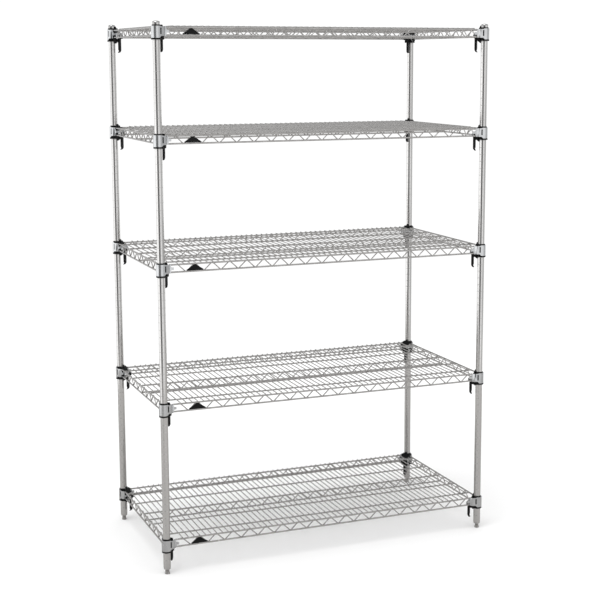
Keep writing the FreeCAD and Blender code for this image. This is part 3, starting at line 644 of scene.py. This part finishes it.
# ---------------------------------------------------------------- studio
def build_floor():
    """Pale floor, seen darker in the chrome so that low plating keeps its shading."""
    bpy.ops.mesh.primitive_plane_add(size=FLOOR_SIZE, location=(0, 0, 0))
    floor = bpy.context.object
    floor.name = "floor"
    material, tree, shader, coords = node_tree("floor_paint")
    mottle = noise(tree, coords, scale=0.6, detail=2.0)
    colour = ramp(tree, mottle, ((0.3, grey(0.90)), (0.7, grey(0.92))))
    tree.links.new(colour, shader.inputs["Base Color"])
    shader.inputs["Roughness"].default_value = 0.9
    shader.inputs["Specular IOR Level"].default_value = 0.1
    shaded = tree.nodes.new("ShaderNodeBsdfDiffuse")
    shaded.inputs["Color"].default_value = grey(FLOOR_IN_CHROME, 0.02)
    path = tree.nodes.new("ShaderNodeLightPath")
    glossy = path.outputs["Is Glossy Ray"]
    both = choose(tree, glossy, shader.outputs["BSDF"], shaded.outputs["BSDF"])
    tree.links.new(both, tree.nodes["Material Output"].inputs["Surface"])
    floor.data.materials.append(material)


def world_colour(tree, strength):
    node = tree.nodes.new("ShaderNodeBackground")
    node.inputs["Color"].default_value = (1.0, 1.0, 1.0, 1.0)
    node.inputs["Strength"].default_value = strength
    return node


def choose(tree, share, first, second):
    """First shader where share is 0, second where it is 1."""
    mix = tree.nodes.new("ShaderNodeMixShader")
    tree.links.new(share, mix.inputs["Fac"])
    tree.links.new(first, mix.inputs[1])
    tree.links.new(second, mix.inputs[2])
    return mix.outputs["Shader"]


def build_world():
    """White sweep for the camera; reflections see soft boxes, darker gaps and a dim ceiling."""
    world = bpy.data.worlds.new("studio")
    bpy.context.scene.world = world
    world.use_nodes = True
    tree = world.node_tree
    tree.nodes.clear()
    coords = tree.nodes.new("ShaderNodeTexCoord")
    split = tree.nodes.new("ShaderNodeSeparateXYZ")
    tree.links.new(coords.outputs["Generated"], split.inputs["Vector"])
    turn = tree.nodes.new("ShaderNodeMath")
    turn.operation = "ARCTAN2"
    tree.links.new(split.outputs["Y"], turn.inputs[0])
    tree.links.new(split.outputs["X"], turn.inputs[1])
    scaled = tree.nodes.new("ShaderNodeMapRange")
    scaled.inputs["From Min"].default_value = -math.pi
    scaled.inputs["From Max"].default_value = math.pi
    tree.links.new(turn.outputs["Value"], scaled.inputs["Value"])
    band_stops = [(position, grey(value)) for position, value in STUDIO_BANDS]
    bands = ramp(tree, scaled.outputs["Result"], band_stops)
    fade_stops = [(height, grey(value)) for height, value in STUDIO_FADE]
    fade = ramp(tree, split.outputs["Z"], fade_stops)
    tint = tree.nodes.new("ShaderNodeMix")
    tint.data_type = "RGBA"
    tint.blend_type = "MULTIPLY"
    tint.inputs["Factor"].default_value = 1.0
    tree.links.new(bands, tint.inputs["A"])
    tree.links.new(fade, tint.inputs["B"])
    studio = tree.nodes.new("ShaderNodeBackground")
    studio.inputs["Strength"].default_value = STUDIO_STRENGTH
    tree.links.new(tint.outputs["Result"], studio.inputs["Color"])
    path = tree.nodes.new("ShaderNodeLightPath")
    white, soft = world_colour(tree, BACKDROP_STRENGTH), world_colour(tree, SOFT_STRENGTH)
    glossy, seen = path.outputs["Is Glossy Ray"], path.outputs["Is Camera Ray"]
    shader = choose(tree, glossy, soft.outputs["Background"], studio.outputs["Background"])
    shader = choose(tree, seen, shader, white.outputs["Background"])
    output = tree.nodes.new("ShaderNodeOutputWorld")
    tree.links.new(shader, output.inputs["Surface"])


def add_sun(name, direction, spread, strength):
    data = bpy.data.lights.new(name, "SUN")
    data.angle = math.radians(spread)
    data.energy = strength
    light = bpy.data.objects.new(name, data)
    light.rotation_euler = Vector(direction).to_track_quat("-Z", "Y").to_euler()
    bpy.context.scene.collection.objects.link(light)


def build_camera():
    """Product camera: eye just under the top shelf, looking right and slightly down."""
    data = bpy.data.cameras.new("product_camera")
    data.sensor_width = CAMERA_SENSOR
    data.lens = CAMERA_LENS
    data.shift_x = CAMERA_SHIFT
    data.shift_y = CAMERA_SHIFT
    data.clip_end = CAMERA_REACH
    camera = bpy.data.objects.new("product_camera", data)
    level, fall = math.cos(CAMERA_PITCH), math.sin(CAMERA_PITCH)
    ahead = Vector((math.sin(CAMERA_YAW) * level, math.cos(CAMERA_YAW) * level, fall))
    right = Vector((math.cos(CAMERA_YAW), -math.sin(CAMERA_YAW), 0.0))
    above = right.cross(ahead)
    tilt_right = right * math.cos(CAMERA_ROLL) + above * math.sin(CAMERA_ROLL)
    tilt_above = above * math.cos(CAMERA_ROLL) - right * math.sin(CAMERA_ROLL)
    basis = Matrix((tilt_right, tilt_above, -ahead)).transposed()
    camera.matrix_world = Matrix.Translation(CAMERA_PLACE) @ basis.to_4x4()
    bpy.context.scene.collection.objects.link(camera)
    bpy.context.scene.camera = camera


def build_studio():
    build_floor()
    build_world()
    add_sun("key", direction=(0.30, 0.22, -1.0), spread=38.0, strength=0.95)
    add_sun("fill", direction=(-0.55, 0.6, -0.6), spread=50.0, strength=0.25)
    build_camera()
    bpy.context.scene.view_settings.view_transform = "Standard"


build_posts()
build_caps()
build_feet()
for shelf in SHELVES:
    build_deck(shelf)
    build_truss(shelf)
    build_corners(shelf)
finish_inserts()
build_studio()
